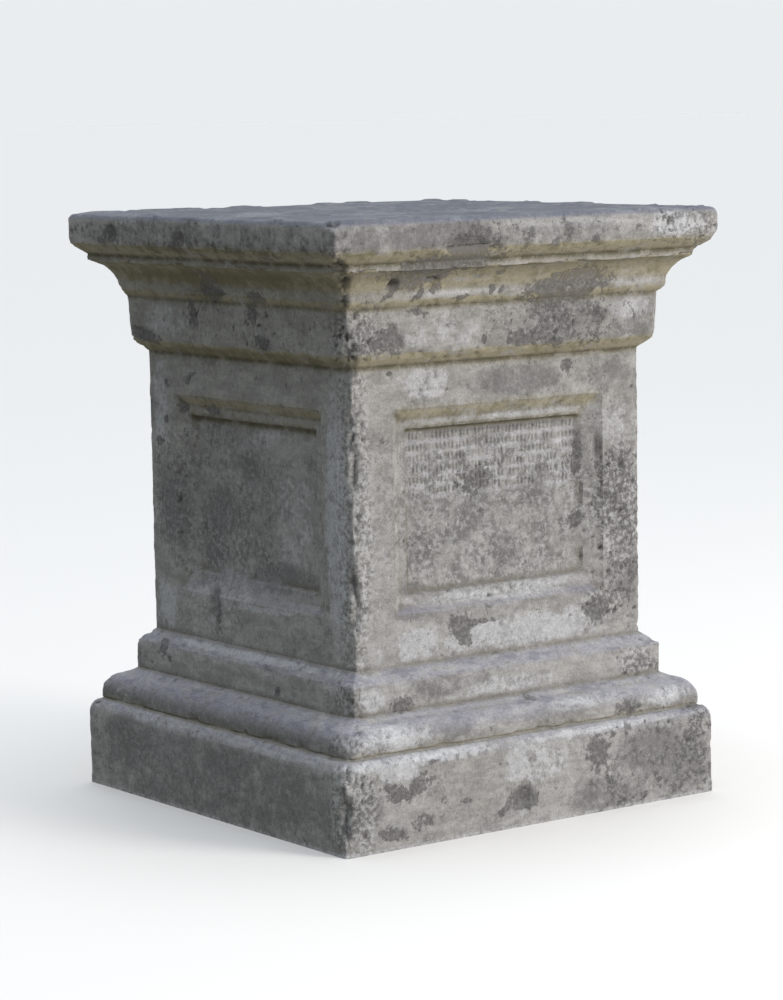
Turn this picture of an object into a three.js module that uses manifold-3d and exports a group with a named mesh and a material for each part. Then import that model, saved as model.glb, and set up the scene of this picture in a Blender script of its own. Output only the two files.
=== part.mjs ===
// A weathered square garden pedestal of pale stone, carved as one block: a plinth with its
// base mouldings, a shaft (the die) with a sunk framed panel on each face, and a moulded cap.
// Millimetres, +Z up. The origin is the middle of the underside; the front faces -Y.
import * as THREE from 'three';
import { mergeVertices } from 'three/addons/utils/BufferGeometryUtils.js';
import Module from 'manifold-3d';

// Die: the square shaft between the two groups of mouldings
const dieWidth = 449;
const dieHeight = 364;

// Base mouldings: how far each stands out from the die's face, and how tall it is
const plinthProjection = 65.5;
const plinthHeight = 112.5;
const plinthShoulderRun = 11.5;
const plinthShoulderRise = 18;
const quirkDepth = 3;
const quirkHeight = 3.5;
const torusProjection = 53.5;
const torusFlat = 7;
const torusRun = 22;
const torusRise = 25;
const baseWashRise = 7;
const fasciaProjection = 18.5;
const fasciaHeight = 37;
const fasciaEasing = 3;
const fasciaWashRise = 15;

// Cap mouldings, from the die's top upwards
const neckRise = 14;
const friezeBottomProjection = 16;
const friezeTopProjection = 19;
const friezeHeight = 56.5;
const stripUnderRise = 8;
const stripBottomProjection = 26;
const stripTopProjection = 28;
const stripHeight = 12.5;
const cavettoTopProjection = 53;
const cavettoRise = 25.5;
const cavettoHollow = 4.5;
const filletProjection = 56;
const filletHeight = 9;
const slabUnderRise = 14;
const slabProjection = 73.5;
const slabHeight = 37.5;
const slabEasing = 7;

// Wear: how round the upright corners are, as a radius in plan
const arrisWear = 5;

// Sunk panel on each face, measured on the die
const panelWidth = 329;
const panelHeight = 253;
const panelAboveDieFoot = 58;
const frameBevelWidth = 13;
const frameBevelDepth = 7.5;
const frameLedgeWidth = 12;
const frameLedgeFall = 1.5;
const fieldDepth = 15;

// Rows of shallow upright tool strokes in the upper half of the front panel's field
const strokeRows = 6;
const strokeRowPitch = 13.5;
const strokePitch = 6;
const strokeHeight = 8.5;
const strokeWidth = 2.6;
const strokeDepth = 1.3;
const strokeMargin = 7;

// How uneven the sides of a break are, as a share of its size
const lumpUnevenness = 0.45;

// The four faces, as quarter turns from the front
const [front, right, back, left] = [0, 1, 2, 3];
const quarterTurn = Math.PI / 2;
const upright = new THREE.Vector3(0, 0, 1);

// How finely curves and long sides are divided
const arcSteps = 5;
const cornerSteps = 4;
const sideSteps = 10;

// Heights and half widths that follow from the sizes above
const dieHalf = dieWidth / 2;
const plinthHalf = dieHalf + plinthProjection;
const torusHalf = dieHalf + torusProjection;
const torusFoot = plinthHeight + quirkHeight;
const fasciaHalf = dieHalf + fasciaProjection;
const fasciaFoot = torusFoot + torusFlat + torusRise + baseWashRise;
const dieFoot = fasciaFoot + fasciaHeight + fasciaWashRise;
const dieTop = dieFoot + dieHeight;
const friezeFoot = dieTop + neckRise;
const friezeTop = friezeFoot + friezeHeight;
const stripFoot = friezeTop + stripUnderRise;
const cavettoFoot = stripFoot + stripHeight;
const filletFoot = cavettoFoot + cavettoRise;
const slabFoot = filletFoot + filletHeight + slabUnderRise;
const friezeHalf = dieHalf + friezeBottomProjection;
const filletHalf = dieHalf + filletProjection;
const slabHalf = dieHalf + slabProjection;
const slabTop = slabFoot + slabHeight;
const panelMiddle = dieFoot + panelAboveDieFoot + panelHeight / 2;

// A quarter of an ellipse from one profile point to another, leaving the first one upright
function quarterRound(from, to, steps) {
  return Array.from({ length: steps }, (_, i) => {
    const angle = ((i + 1) / steps) * quarterTurn;
    const across = to.x + (from.x - to.x) * Math.cos(angle);
    return new THREE.Vector2(across, from.y + (to.y - from.y) * Math.sin(angle));
  });
}

// A shallow hollow between two profile points, bowed towards the stone by a named amount
function hollow(from, to, bow, steps) {
  const chord = to.clone().sub(from);
  const inward = new THREE.Vector2(-chord.y, chord.x).normalize();
  return Array.from({ length: steps - 1 }, (_, i) => {
    const t = (i + 1) / steps;
    const depth = bow * Math.sin(Math.PI * t);
    return from.clone().addScaledVector(chord, t).addScaledVector(inward, depth);
  });
}

// The moulded outline, from the ground up: x is the half width of the square, y its height
function mouldedProfile() {
  const at = (half, height) => new THREE.Vector2(half, height);
  const shoulder = at(plinthHalf, plinthHeight - plinthShoulderRise);
  const shoulderTop = at(plinthHalf - plinthShoulderRun, plinthHeight);
  const torusSide = at(torusHalf, torusFoot + torusFlat);
  const torusTop = at(torusHalf - torusRun, torusFoot + torusFlat + torusRise);
  const fasciaTop = fasciaFoot + fasciaHeight;
  const cavettoStart = at(dieHalf + stripTopProjection, cavettoFoot);
  const cavettoEnd = at(dieHalf + cavettoTopProjection, filletFoot);
  const slabArris = at(slabHalf, slabTop - slabEasing);
  const slabEdge = at(slabHalf - slabEasing, slabTop);
  return [
    at(plinthHalf, 0),
    shoulder,
    ...quarterRound(shoulder, shoulderTop, 3),
    at(torusHalf - quirkDepth, plinthHeight + quirkHeight / 2),
    at(torusHalf, torusFoot),
    torusSide,
    ...quarterRound(torusSide, torusTop, arcSteps),
    at(fasciaHalf, fasciaFoot),
    at(fasciaHalf, fasciaTop - fasciaEasing),
    at(fasciaHalf - fasciaEasing / 2, fasciaTop),
    at(dieHalf, dieFoot),
    at(dieHalf, dieTop),
    at(friezeHalf, friezeFoot),
    at(dieHalf + friezeTopProjection, friezeTop),
    at(dieHalf + stripBottomProjection, stripFoot),
    cavettoStart,
    ...hollow(cavettoStart, cavettoEnd, cavettoHollow, arcSteps),
    cavettoEnd,
    at(filletHalf, filletFoot),
    at(filletHalf, filletFoot + filletHeight),
    at(slabHalf, slabFoot),
    slabArris,
    ...quarterRound(slabArris, slabEdge, 3),
  ];
}

// One ring of the plan: a square with worn corners, anticlockwise seen from above
function planRing(half, height) {
  const flat = half - arrisWear;
  const ring = [];
  for (let side = 0; side < 4; side += 1) {
    const turned = (x, y) => new THREE.Vector3(x, y, height).applyAxisAngle(upright, side * quarterTurn);
    for (let i = 0; i <= cornerSteps; i += 1) {
      const angle = (i / cornerSteps - 1) * quarterTurn;
      ring.push(turned(flat + arrisWear * Math.cos(angle), arrisWear * Math.sin(angle) - flat));
    }
    for (let i = 1; i < sideSteps; i += 1) {
      ring.push(turned(half, flat * ((2 * i) / sideSteps - 1)));
    }
  }
  return ring;
}

// A closed skin over a stack of rings that all have the same number of points
function skinOver(rings) {
  const count = rings[0].length;
  const positions = rings.flat().flatMap((point) => point.toArray());
  const triangles = [];
  for (let row = 0; row + 1 < rings.length; row += 1) {
    for (let i = 0; i < count; i += 1) {
      const a = row * count + i;
      const b = row * count + ((i + 1) % count);
      triangles.push(a, b, b + count, a, b + count, a + count);
    }
  }
  const last = (rings.length - 1) * count;
  for (let i = 1; i + 1 < count; i += 1) {
    triangles.push(0, i + 1, i);
    triangles.push(last, last + i, last + i + 1);
  }
  const geometry = new THREE.BufferGeometry();
  geometry.setAttribute('position', new THREE.Float32BufferAttribute(positions, 3));
  geometry.setIndex(triangles);
  return geometry;
}

// The block that is taken out for one panel of the front face: rectangles lofted inwards
function panelCutter() {
  const bevelEnd = frameBevelWidth;
  const ledgeEnd = frameBevelWidth + frameLedgeWidth;
  const steps = [
    { inset: 0, depth: -plinthProjection },
    { inset: 0, depth: 0 },
    { inset: bevelEnd, depth: frameBevelDepth },
    { inset: ledgeEnd, depth: frameBevelDepth + frameLedgeFall },
    { inset: ledgeEnd, depth: fieldDepth },
  ];
  const rings = steps.map(({ inset, depth }) => {
    const across = panelWidth / 2 - inset;
    const up = panelHeight / 2 - inset;
    const corners = [[-across, -up], [-across, up], [across, up], [across, -up]];
    return corners.map(([x, z]) => new THREE.Vector3(x, depth - dieHalf, panelMiddle + z));
  });
  return skinOver(rings);
}

// A repeatable number between 0 and 1 for each whole number, for what no two strokes share
function chance(seed) {
  const value = Math.sin(seed * 12.9898 + 4.1414) * 43758.5453;
  return value - Math.floor(value);
}

// The upright strokes of the front field: each is a thin lozenge sunk half into the stone
function strokeCutters() {
  const fieldHalf = panelWidth / 2 - frameBevelWidth - frameLedgeWidth - strokeMargin;
  const fieldTop = panelMiddle + panelHeight / 2 - frameBevelWidth - frameLedgeWidth;
  const perRow = Math.floor((2 * fieldHalf) / strokePitch);
  const cutters = [];
  for (let row = 0; row < strokeRows; row += 1) {
    for (let i = 0; i < perRow; i += 1) {
      const seed = row * perRow + i;
      const stroke = new THREE.OctahedronGeometry(1);
      const length = strokeHeight * (0.65 + 0.35 * chance(seed));
      stroke.scale(strokeWidth / 2, strokeDepth, length / 2);
      stroke.rotateY((chance(seed + 0.5) - 0.5) * 0.5);
      const across = (i + 0.5 - perRow / 2) * strokePitch;
      const height = fieldTop - strokeMargin - strokeRowPitch * row - strokeHeight / 2;
      stroke.translate(across, fieldDepth - dieHalf, height);
      cutters.push(stroke);
    }
  }
  return cutters;
}

// A bruise or break: its face, how far it is along that face from the middle, its height, how
// far it stands out from the die's face, and its reach along, into and up the stone
function bruise(side, along, height, out, reach) {
  return { side, along, height, out, reach };
}

// Bruises and breaks that show from a step away
const breaks = {
  slabFrontEdge: bruise(front, -98, slabFoot + 2, slabProjection, [47, 9, 13]),
  slabNearCorner: bruise(front, -slabHalf, slabTop, slabProjection, [13, 12, 10]),
  slabRightCorner: bruise(front, slabHalf, slabFoot, slabProjection, [11, 11, 9]),
  filletNearCorner: bruise(front, -filletHalf, filletFoot, filletProjection, [15, 15, 17]),
  filletRightCorner: bruise(front, filletHalf, filletFoot, filletProjection, [11, 11, 12]),
  cavettoGougeLeft: bruise(front, -184, cavettoFoot + 9, stripTopProjection, [9, 8, 9]),
  cavettoGougeRight: bruise(front, -129, cavettoFoot + 14, stripTopProjection + 3, [13, 6, 5]),
  friezeGougeLeft: bruise(front, -162, friezeFoot + 22, friezeTopProjection, [7, 5, 20]),
  friezeGougeRight: bruise(front, 141, friezeFoot + 33, friezeTopProjection, [8, 5, 11]),
  friezeNearCorner: bruise(front, -friezeHalf, friezeFoot, friezeBottomProjection, [9, 9, 14]),
  frameRightEdge: bruise(front, panelWidth / 2 - 9, panelMiddle + 56, 0, [7, 10, 27]),
  dieArrisHigh: bruise(front, -dieHalf, panelMiddle + 80, 0, [7, 7, 62]),
  dieArrisLow: bruise(front, -dieHalf, panelMiddle - 92, 0, [8, 7, 46]),
  plinthArris: bruise(front, -plinthHalf, 42, plinthProjection, [8, 8, 28]),
  plinthHollow: bruise(front, -28, 34, plinthProjection, [21, 5, 18]),
  slabLeftHole: bruise(left, -187, slabFoot + 15, slabProjection, [9, 6, 14]),
  slabLeftNotch: bruise(left, -26, slabFoot + 9, slabProjection, [8, 5, 10]),
  stripLeftBreak: bruise(left, -22, stripFoot + 5, stripTopProjection, [27, 6, 9]),
  sillLeftBreak: bruise(left, -84, panelMiddle - panelHeight / 2 - 4, 0, [11, 9, 30]),
  slabBackEdge: bruise(back, 120, slabFoot + 2, slabProjection, [30, 8, 11]),
  friezeBackGouge: bruise(back, -70, friezeFoot + 24, friezeTopProjection, [10, 5, 15]),
  slabFarCorner: bruise(right, slabHalf, slabTop, slabProjection, [12, 12, 9]),
  plinthRightEdge: bruise(right, 96, plinthHeight - 8, plinthProjection, [24, 8, 12]),
};

// A rough lump in the shape of a break: a ball whose sides are pushed in and out unevenly
function breakCutter({ side, along, height, out, reach }, index) {
  const ball = new THREE.IcosahedronGeometry(1, 1);
  ball.deleteAttribute('normal');
  ball.deleteAttribute('uv');
  const lump = mergeVertices(ball);
  const places = lump.attributes.position;
  for (let i = 0; i < places.count; i += 1) {
    const swell = 1 + lumpUnevenness * (chance(index * places.count + i) - 0.5);
    places.setXYZ(i, places.getX(i) * swell, places.getY(i) * swell, places.getZ(i) * swell);
  }
  lump.scale(...reach);
  lump.translate(along, -dieHalf - out, height);
  lump.rotateZ(side * quarterTurn);
  return lump;
}

const wasm = await Module();
wasm.setup();

// A solid from a closed geometry whose shared vertices are merged
function solidFrom(geometry) {
  const bare = geometry.clone();
  bare.deleteAttribute('normal');
  bare.deleteAttribute('uv');
  const merged = mergeVertices(bare);
  const vertProperties = new Float32Array(merged.attributes.position.array);
  const triVerts = new Uint32Array(merged.index.array);
  return new wasm.Manifold(new wasm.Mesh({ numProp: 3, vertProperties, triVerts }));
}

// A geometry from a solid
function geometryFrom(solid) {
  const mesh = solid.getMesh();
  const geometry = new THREE.BufferGeometry();
  geometry.setAttribute('position', new THREE.Float32BufferAttribute(mesh.vertProperties, 3));
  geometry.setIndex(Array.from(mesh.triVerts));
  geometry.computeVertexNormals();
  return geometry;
}

function pedestalGeometry() {
  const rings = mouldedProfile().map((point) => planRing(point.x, point.y));
  let stone = solidFrom(skinOver(rings));
  for (let side = 0; side < 4; side += 1) {
    stone = stone.subtract(solidFrom(panelCutter().rotateZ(side * quarterTurn)));
  }
  for (const cutter of [...strokeCutters(), ...Object.values(breaks).map(breakCutter)]) {
    stone = stone.subtract(solidFrom(cutter));
  }
  return geometryFrom(stone);
}

const weatheredStone = new THREE.MeshStandardMaterial({
  name: 'weathered_stone',
  color: 0x9b968d,
  roughness: 0.92,
  metalness: 0,
});

const pedestal = new THREE.Mesh(pedestalGeometry(), weatheredStone);
pedestal.name = 'pedestal';

const part = new THREE.Group();
part.add(pedestal);

export default part;
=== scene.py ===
# %% [markdown]
# A garden pedestal of pale stone, weathered by lichen, soot and frost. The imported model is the
# fixed frame: it gives the place and the size of the stone, and this script gives it its looks.
# Lengths are in metres, and only what is given to on() is in millimetres.

# %% The frame
import math
import random
import bmesh
import bpy
from mathutils import Matrix, Vector


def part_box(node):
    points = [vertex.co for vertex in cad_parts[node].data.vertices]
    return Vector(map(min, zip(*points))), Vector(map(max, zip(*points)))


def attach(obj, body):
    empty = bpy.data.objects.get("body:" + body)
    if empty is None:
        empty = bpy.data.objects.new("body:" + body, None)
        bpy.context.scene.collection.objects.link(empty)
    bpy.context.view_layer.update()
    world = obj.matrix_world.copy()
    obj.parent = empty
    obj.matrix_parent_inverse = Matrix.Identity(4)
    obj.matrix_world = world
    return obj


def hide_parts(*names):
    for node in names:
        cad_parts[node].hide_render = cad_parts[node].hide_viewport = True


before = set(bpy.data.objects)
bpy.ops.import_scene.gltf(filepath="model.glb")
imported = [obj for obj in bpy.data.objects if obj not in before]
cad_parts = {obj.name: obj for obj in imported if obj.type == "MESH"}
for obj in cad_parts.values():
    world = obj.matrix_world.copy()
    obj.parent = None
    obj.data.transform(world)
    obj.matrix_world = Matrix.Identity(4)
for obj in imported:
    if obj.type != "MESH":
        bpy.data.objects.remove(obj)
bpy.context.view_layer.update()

stone_low, stone_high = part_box("pedestal")
slab_top = stone_high.z
print("the stone stands from", round(stone_low.z, 4), "to", round(slab_top, 4))


def placed(name, data):
    thing = bpy.data.objects.new(name, data)
    bpy.context.scene.collection.objects.link(thing)
    return thing


# %% [markdown]
# The camera stands where the photographer stood, a little above the stone's top and about four
# metres away. One placed by eye would do for a picture, but this one is fitted to the corners of
# the mouldings, so that every level shows where the photograph has it.

# %% The camera
image_height = 1000
focal_pixels = 3193
camera_place = Vector((-2.4203, -3.2903, 0.8810))
camera_turn, camera_tilt, camera_lean = (math.radians(a) for a in (-36.368, -7.052, -0.985))
centre_shift = (-0.0028, -0.0002)

look = Vector((-math.sin(camera_turn) * math.cos(camera_tilt),
               math.cos(camera_turn) * math.cos(camera_tilt), math.sin(camera_tilt)))
level = Vector((math.cos(camera_turn), math.sin(camera_turn), 0))
lift = level.cross(look)
camera_right = level * math.cos(camera_lean) + lift * math.sin(camera_lean)
camera_up = lift * math.cos(camera_lean) - level * math.sin(camera_lean)

camera_data = bpy.data.cameras.new("camera")
camera_data.lens = focal_pixels * camera_data.sensor_width / image_height
camera_data.shift_x, camera_data.shift_y = centre_shift
camera = placed("camera", camera_data)
camera.matrix_world = Matrix.Translation(camera_place) @ Matrix(
    (camera_right, camera_up, -look)).transposed().to_4x4()
bpy.context.scene.camera = camera
print("lens", round(camera_data.lens, 2), "mm")

# %% [markdown]
# Trees of nodes make both the shape and the finish, and their maths is easier to read as an
# expression than as a list of links. So one small class wraps an output socket, and plus, minus and
# times each add a node. Every other node comes from one method.

# %% Sockets in expressions
def is_vector(value):
    if isinstance(value, Wire):
        return value.socket.type in {"VECTOR", "RGBA"}
    return isinstance(value, (tuple, Vector))


class Wire:
    def __init__(self, bench, socket):
        self.bench, self.socket = bench, socket

    def vector_math(self, operation, values, output=None):
        return self.bench.node("ShaderNodeVectorMath", {"operation": operation}, values, output)

    def pair(self, operation, a, b):
        if is_vector(a) or is_vector(b):
            return self.vector_math(operation, {0: a, 1: b})
        return self.bench.node("ShaderNodeMath", {"operation": operation}, {0: a, 1: b})

    def __add__(self, other):
        return self.pair("ADD", self, other)

    def __sub__(self, other):
        return self.pair("SUBTRACT", self, other)

    def __rsub__(self, other):
        return self.pair("SUBTRACT", other, self)

    def __mul__(self, other):
        if is_vector(self) and not is_vector(other):
            return self.vector_math("SCALE", {0: self, "Scale": other})
        if isinstance(other, Wire) and is_vector(other) and not is_vector(self):
            return other * self
        return self.pair("MULTIPLY", self, other)

    __radd__, __rmul__ = __add__, __mul__

    def __truediv__(self, other):
        return self.pair("DIVIDE", self, other)

    def __neg__(self):
        return self * -1.0

    def math(self, operation, other=0.0):
        return self.bench.node("ShaderNodeMath", {"operation": operation}, {0: self, 1: other})

    def clamped(self):
        return self.math("MAXIMUM", 0.0).math("MINIMUM", 1.0)

    def dot(self, other):
        return self.vector_math("DOT_PRODUCT", {0: self, 1: other}, "Value")

    def length(self):
        return self.vector_math("LENGTH", {0: self}, "Value")

    def part(self, axis):
        return self.bench.node("ShaderNodeSeparateXYZ", {}, {0: self}, axis)

    def smooth(self, low, high):
        return self.bench.node("ShaderNodeMapRange", {"interpolation_type": "SMOOTHSTEP"},
                               {"Value": self, "From Min": low, "From Max": high})


class Bench:
    def __init__(self, tree):
        self.tree = tree

    def node(self, kind, settings=None, values=None, output=None):
        node = self.tree.nodes.new(kind)
        for name, value in (settings or {}).items():
            setattr(node, name, value)
        for name, value in (values or {}).items():
            if isinstance(name, int):
                socket = node.inputs[name]
            else:
                socket = next(s for s in node.inputs if s.enabled and s.name == name)
            if isinstance(value, Wire):
                self.tree.links.new(value.socket, socket)
            else:
                socket.default_value = value
        shown = [s for s in node.outputs if s.enabled]
        chosen = next((s for s in shown if s.name == output), shown[0] if shown else None)
        return Wire(self, chosen) if chosen else node

    def vector(self, **parts):
        return self.node("ShaderNodeCombineXYZ", {}, parts)

    def noise(self, place, scale, detail=2.0, roughness=0.5, output="Fac"):
        values = {"Vector": place, "Scale": scale, "Detail": detail, "Roughness": roughness}
        return self.node("ShaderNodeTexNoise", {}, values, output)

    def cells(self, place, scale, output="Distance"):
        return self.node("ShaderNodeTexVoronoi", {}, {"Vector": place, "Scale": scale}, output)

    def mix(self, mask, under, over):
        values = {"Factor": mask, "A": under, "B": over}
        return self.node("ShaderNodeMix", {"data_type": "RGBA"}, values)


# %% [markdown]
# Geometry Nodes make the stone, because its shape follows a rule: one moulded outline is run round
# one square plan. These helpers start a tree with named inputs, run it on an object and keep its
# result as a plain mesh.

# %% Trees that make meshes
socket_kinds = {int: "NodeSocketInt", float: "NodeSocketFloat", bpy.types.Object: "NodeSocketObject",
                bpy.types.Material: "NodeSocketMaterial"}


def start_tree(name, inputs):
    tree = bpy.data.node_groups.new(name, "GeometryNodeTree")
    tree.interface.new_socket("Geometry", in_out="INPUT", socket_type="NodeSocketGeometry")
    tree.interface.new_socket("Geometry", in_out="OUTPUT", socket_type="NodeSocketGeometry")
    for label, value in inputs.items():
        tree.interface.new_socket(label, in_out="INPUT", socket_type=socket_kinds[type(value)])
    bench = Bench(tree)
    source = tree.nodes.new("NodeGroupInput")
    return bench, {s.name: Wire(bench, s) for s in source.outputs if s.name}


def run_tree(bench, geometry, inputs, mesh, material):
    whole = bench.node("GeometryNodeRealizeInstances", {}, {"Geometry": geometry})
    coated = bench.node("GeometryNodeSetMaterial", {}, {"Geometry": whole, "Material": material})
    bench.node("NodeGroupOutput", {}, {"Geometry": coated})
    carrier = placed("carrier", mesh)
    modifier = carrier.modifiers.new("tree", "NODES")
    modifier.node_group = bench.tree
    for item in bench.tree.interface.items_tree:
        if item.in_out == "INPUT" and item.name in inputs:
            modifier[item.identifier] = inputs[item.name]
    depsgraph = bpy.context.evaluated_depsgraph_get()
    result = bpy.data.meshes.new_from_object(carrier.evaluated_get(depsgraph))
    carrier.modifiers.remove(modifier)
    bpy.data.objects.remove(carrier)
    return result


def point_mesh(name, places, **attributes):
    mesh = bpy.data.meshes.new(name)
    mesh.from_pydata(places, [], [])
    for label, values in attributes.items():
        vector = isinstance(values[0], (tuple, Vector))
        kind, key = ("FLOAT_VECTOR", "vector") if vector else ("FLOAT", "value")
        layer = mesh.attributes.new(label, kind, "POINT")
        flat = [n for v in values for n in v] if vector else values
        layer.data.foreach_set(key, flat)
    return bpy.data.objects.new(name, mesh)


weathered_stone = bpy.data.materials.new("weathered_stone")
weathered_stone.use_nodes = True

# %% [markdown]
# The outline of a pedestal is a list of classical mouldings between a plinth and a slab. Each is
# named with how far it stands out from the shaft's face and how tall it is, as a mason would set it
# out. Curves are quarter rounds and one shallow hollow.

# %% The mouldings' sizes
die_half = 0.2245
die_height = 0.364
plinth_out, plinth_height = 0.0655, 0.1125
shoulder_run, shoulder_rise = 0.0115, 0.018
quirk_in, quirk_height = 0.0014, 0.0035
torus_out, torus_flat, torus_run, torus_rise = 0.0535, 0.007, 0.022, 0.025
base_wash_rise = 0.007
fascia_out, fascia_height, fascia_wash_rise = 0.0185, 0.037, 0.015
neck_rise = 0.014
frieze_out, frieze_top_out, frieze_height = 0.016, 0.019, 0.0565
strip_under_rise, strip_out, strip_top_out, strip_height = 0.008, 0.026, 0.028, 0.0125
cavetto_out, cavetto_rise, cavetto_bow = 0.053, 0.0255, 0.0045
fillet_out, fillet_height = 0.056, 0.009
slab_under_rise, slab_out, slab_height, slab_easing = 0.014, 0.0735, 0.0375, 0.007

torus_foot = plinth_height + quirk_height
fascia_foot = torus_foot + torus_flat + torus_rise + base_wash_rise
die_foot = fascia_foot + fascia_height + fascia_wash_rise
die_top = die_foot + die_height
frieze_foot = die_top + neck_rise
frieze_top = frieze_foot + frieze_height
strip_foot = frieze_top + strip_under_rise
cavetto_foot = strip_foot + strip_height
fillet_foot = cavetto_foot + cavetto_rise
slab_foot = fillet_foot + fillet_height + slab_under_rise
print("slab top", round(slab_foot + slab_height, 4), "frame", round(slab_top, 4))

# %% The outline
arris_ease = 0.0022
shaft_round = 0.0034
corner_rounds = [(torus_foot, 0.0040), (fascia_foot, 0.0055), (frieze_foot, shaft_round),
                 (fillet_foot + fillet_height, 0.0040), (math.inf, 0.0060)]


def corner_round_at(height):
    return next(rounding for top, rounding in corner_rounds if height < top)


def quarter_round(start, end, steps):
    turn = math.pi / 2 / steps
    return [Vector((end.x + (start.x - end.x) * math.cos(i * turn),
                    start.y + (end.y - start.y) * math.sin(i * turn))) for i in range(1, steps + 1)]


def shallow_hollow(start, end, bow, steps):
    chord = end - start
    inward = Vector((-chord.y, chord.x)).normalized()
    return [start + chord * (i / steps) + inward * bow * math.sin(math.pi * i / steps)
            for i in range(1, steps)]


def eased(points):
    """Softens each outer corner of the outline, and marks it as an arris."""
    result = [(points[0], 0.0)]
    for before, corner, after in zip(points, points[1:], points[2:]):
        back, ahead = (before - corner), (after - corner)
        turn = back.normalized().cross(ahead.normalized())
        sharp = turn < -0.42
        if sharp:
            reach = min(arris_ease, back.length * 0.4, ahead.length * 0.4)
            first, last = corner + back.normalized() * reach, corner + ahead.normalized() * reach
            result += [(first, 1.0), ((first + last) * 0.25 + corner * 0.5, 1.0), (last, 1.0)]
        else:
            result.append((corner, 0.0))
    return result + [(points[-1], 0.0)]


def stone_outline():
    def at(out, height):
        return Vector((die_half + out, height))
    shoulder = at(plinth_out, plinth_height - shoulder_rise)
    shoulder_top = at(plinth_out - shoulder_run, plinth_height)
    torus_side = at(torus_out, torus_foot + torus_flat)
    torus_top = at(torus_out - torus_run, torus_foot + torus_flat + torus_rise)
    cavetto_start, cavetto_end = at(strip_top_out, cavetto_foot), at(cavetto_out, fillet_foot)
    slab_arris = at(slab_out, slab_foot + slab_height - slab_easing)
    return [at(plinth_out, 0.0), shoulder,
            *quarter_round(shoulder, shoulder_top, 5),
            at(torus_out - quirk_in, plinth_height + quirk_height / 2), at(torus_out, torus_foot),
            torus_side, *quarter_round(torus_side, torus_top, 9),
            at(fascia_out, fascia_foot), at(fascia_out, fascia_foot + fascia_height),
            at(0, die_foot), at(0, die_top),
            at(frieze_out, frieze_foot), at(frieze_top_out, frieze_top), at(strip_out, strip_foot),
            cavetto_start, *shallow_hollow(cavetto_start, cavetto_end, cavetto_bow, 8), cavetto_end,
            at(fillet_out, fillet_foot), at(fillet_out, fillet_foot + fillet_height),
            at(slab_out, slab_foot), slab_arris,
            *quarter_round(slab_arris, at(slab_out - slab_easing, slab_top), 5)]


outline = eased(stone_outline())
print("outline points", len(outline))

# %% [markdown]
# Each face of the shaft has a sunk panel: a bevel, a narrow ledge like a picture frame, and a flat
# field. The mesh needs a line of points on each of those edges, so the rows and columns are placed
# with the panel's sizes in hand, and closer together where the camera looks.

# %% Rows and columns
panel_half_width, panel_half_height, panel_foot = 0.1645, 0.1265, 0.058
bevel_width, bevel_depth = 0.013, 0.0075
ledge_width, ledge_fall = 0.012, 0.0015
field_depth, step_run = 0.015, 0.0028
panel_middle = die_foot + panel_foot + panel_half_height
panel_insets = [0.0, bevel_width, bevel_width + ledge_width, bevel_width + ledge_width + step_run]

row_step, plain_row_step = 0.0042, 0.0046
column_steps = {"front": 0.0033, "right": 0.0078, "back": 0.0078, "left": 0.0042}
corner_columns = 5


def spread(stops, step):
    """Even points between each pair of stops, with every stop kept."""
    result = [stops[0]]
    for low, high in zip(stops, stops[1:]):
        count = max(1, round((high - low) / step))
        result += [low + (high - low) * (i + 1) / count for i in range(count)]
    return result


panel_levels = sorted([panel_middle + side * (panel_half_height - inset)
                       for side in (-1, 1) for inset in panel_insets])
rows = [outline[0]]
for (low, _), (high, arris) in zip(outline, outline[1:]):
    step = plain_row_step if (high - low).length > 0.08 else row_step
    inner = [z for z in panel_levels if low.y < z < high.y and (high - low).length > 0.3]
    stops = [0.0, *[(z - low.y) / (high.y - low.y) for z in inner], 1.0]
    shares = spread(stops, step / (high - low).length)[1:]
    rows += [(low.lerp(high, share), arris if share == 1.0 else 0.0) for share in shares]

flat_half = die_half - shaft_round
panel_columns = sorted([side * (panel_half_width - inset) / flat_half
                        for side in (-1, 1) for inset in panel_insets])
plan_places, plan_outward, plan_corner = [], [], []
for turn, step in enumerate(column_steps.values()):
    spin = Matrix.Rotation(turn * math.pi / 2, 3, "Z")
    for i in range(corner_columns):
        angle = math.pi * (1 + i / corner_columns / 2)
        plan_places.append(spin @ Vector((-1, -1, 0)))
        plan_outward.append(spin @ Vector((math.cos(angle), math.sin(angle), 0)))
        plan_corner.append(1.0)
    for share in spread([-1.0, *panel_columns, 1.0], step / flat_half)[:-1]:
        plan_places.append(spin @ Vector((share, -1, 0)))
        plan_outward.append(spin @ Vector((0, -1, 0)))
        plan_corner.append(0.0)
print("rows", len(rows), "columns", len(plan_places))

# %% [markdown]
# The sweep is a grid whose columns walk round the plan and whose rows climb the outline. Each point
# looks up its row's half width and height and its column's place on a unit square, and a small part
# of its reach goes along the column's own outward direction, which rounds the upright arrises.

# %% The sweep
profile_points = point_mesh("outline_points", [(p.x, 0, p.y) for p, _ in rows],
                            arris=[a for _, a in rows], rounding=[corner_round_at(p.y) for p, _ in rows])
plan_points = point_mesh("plan_points", plan_places, outward=plan_outward, corner=plan_corner)
sweep_inputs = {"Outline": profile_points, "Plan": plan_points, "Rows": len(rows),
                "Columns": len(plan_places)}
bench, given = start_tree("moulded_sweep", sweep_inputs)


def place_of(bench):
    return bench.node("GeometryNodeInputPosition")


def kept(bench, name, kind="FLOAT"):
    return bench.node("GeometryNodeInputNamedAttribute", {"data_type": kind}, {"Name": name}, "Attribute")


def looked_up(bench, source, value, index, kind="FLOAT"):
    geometry = bench.node("GeometryNodeObjectInfo", {}, {"Object": source}, "Geometry")
    return bench.node("GeometryNodeSampleIndex", {"data_type": kind},
                      {"Geometry": geometry, "Value": value, "Index": index})


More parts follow.
